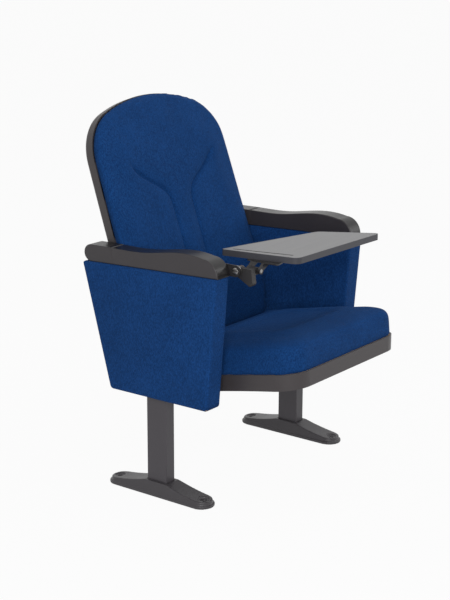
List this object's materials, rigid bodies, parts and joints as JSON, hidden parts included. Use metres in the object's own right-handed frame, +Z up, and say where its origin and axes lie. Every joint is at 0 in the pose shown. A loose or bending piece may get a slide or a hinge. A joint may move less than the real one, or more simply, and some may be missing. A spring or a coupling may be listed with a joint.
{
  "type": "tip up auditorium seat",
  "caption": "Floor mounted auditorium seat with a tipping upholstered seat, a reclined padded back, side panels, armrests and a folding writing tablet.",
  "frame": {"origin": "on the floor, midway between the two columns, at the centre of the floor bolts", "axes": "+Z up, -Y the way the seat faces, +X towards the sitter's left"},
  "size_m": [0.6296, 0.6672, 0.9431],
  "materials": {
    "foot_iron": "dark grey enamel, satin",
    "frame_steel": "dark grey powder coat, satin",
    "hardware_steel": "zinc plated",
    "blue_fabric": "woven upholstery, matte",
    "plywood": "unfinished",
    "arm_plastic": "fine grain, slightly glossy",
    "shell_plastic": "fine grain, satin",
    "bush_nylon": "smooth",
    "stop_rubber": "matte",
    "tablet_laminate": "dark grey laminate, satin",
    "tablet_edging": "satin"
  },
  "bodies": {
    "stand": {"arm_rear_cap_left": "arm_plastic", "arm_rear_cap_right": "arm_plastic", "arm_screws_left": "hardware_steel", "arm_screws_right": "hardware_steel", "armrest_left": "arm_plastic", "armrest_right": "arm_plastic", "back_board": "plywood", "back_bolts_left": "hardware_steel", "back_bolts_right": "hardware_steel", "back_bracket_left": "frame_steel", "back_bracket_right": "frame_steel", "back_cushion": "blue_fabric", "back_shell": "shell_plastic", "bearing_bolts_left": "hardware_steel", "bearing_bolts_right": "hardware_steel", "bearing_plate_left": "frame_steel", "bearing_plate_right": "frame_steel", "bracket_screws": "hardware_steel", "column_left": "frame_steel", "column_right": "frame_steel", "foot_left": "foot_iron", "foot_right": "foot_iron", "head_plate_left": "frame_steel", "head_plate_right": "frame_steel", "panel_core_left": "plywood", "panel_core_right": "plywood", "panel_cover_left": "blue_fabric", "panel_cover_right": "blue_fabric", "pivot_pin_left": "hardware_steel", "pivot_pin_right": "hardware_steel", "seat_spring_left": "hardware_steel", "seat_spring_right": "hardware_steel", "seat_stop_left": "stop_rubber", "seat_stop_right": "stop_rubber", "shaft_nut": "hardware_steel", "shaft_washer": "hardware_steel", "swing_shaft": "hardware_steel", "tablet_bracket": "frame_steel"},
    "seat": {"hinge_screws": "hardware_steel", "pivot_bush_left": "bush_nylon", "pivot_bush_right": "bush_nylon", "seat_board": "plywood", "seat_cushion": "blue_fabric", "seat_frame": "frame_steel", "seat_hinge_arm_left": "frame_steel", "seat_hinge_arm_right": "frame_steel", "seat_pan": "shell_plastic"},
    "tablet_knuckle": {"knuckle": "frame_steel"},
    "tablet": {"tablet_plate": "frame_steel", "tablet_screws": "hardware_steel", "tablet_board": "tablet_laminate", "tablet_edging": "tablet_edging", "flip_pin": "hardware_steel"}
  },
  "joints": [
    {"name": "seat_tip", "type": "hinge", "parent": "stand", "child": "seat", "pos_m": [0, -0.055, 0.282], "axis": [-1, 0, 0], "range_deg": [0, 78]},
    {"name": "tablet_swing", "type": "hinge", "parent": "stand", "child": "tablet_knuckle", "pos_m": [-0.245, -0.21, 0.596], "axis": [1, 0, 0], "range_deg": [0, 180]},
    {"name": "tablet_flip", "type": "hinge", "parent": "tablet_knuckle", "child": "tablet", "pos_m": [-0.221, -0.238, 0.596], "axis": [0, -1, 0], "range_deg": [0, 90]}
  ]
}
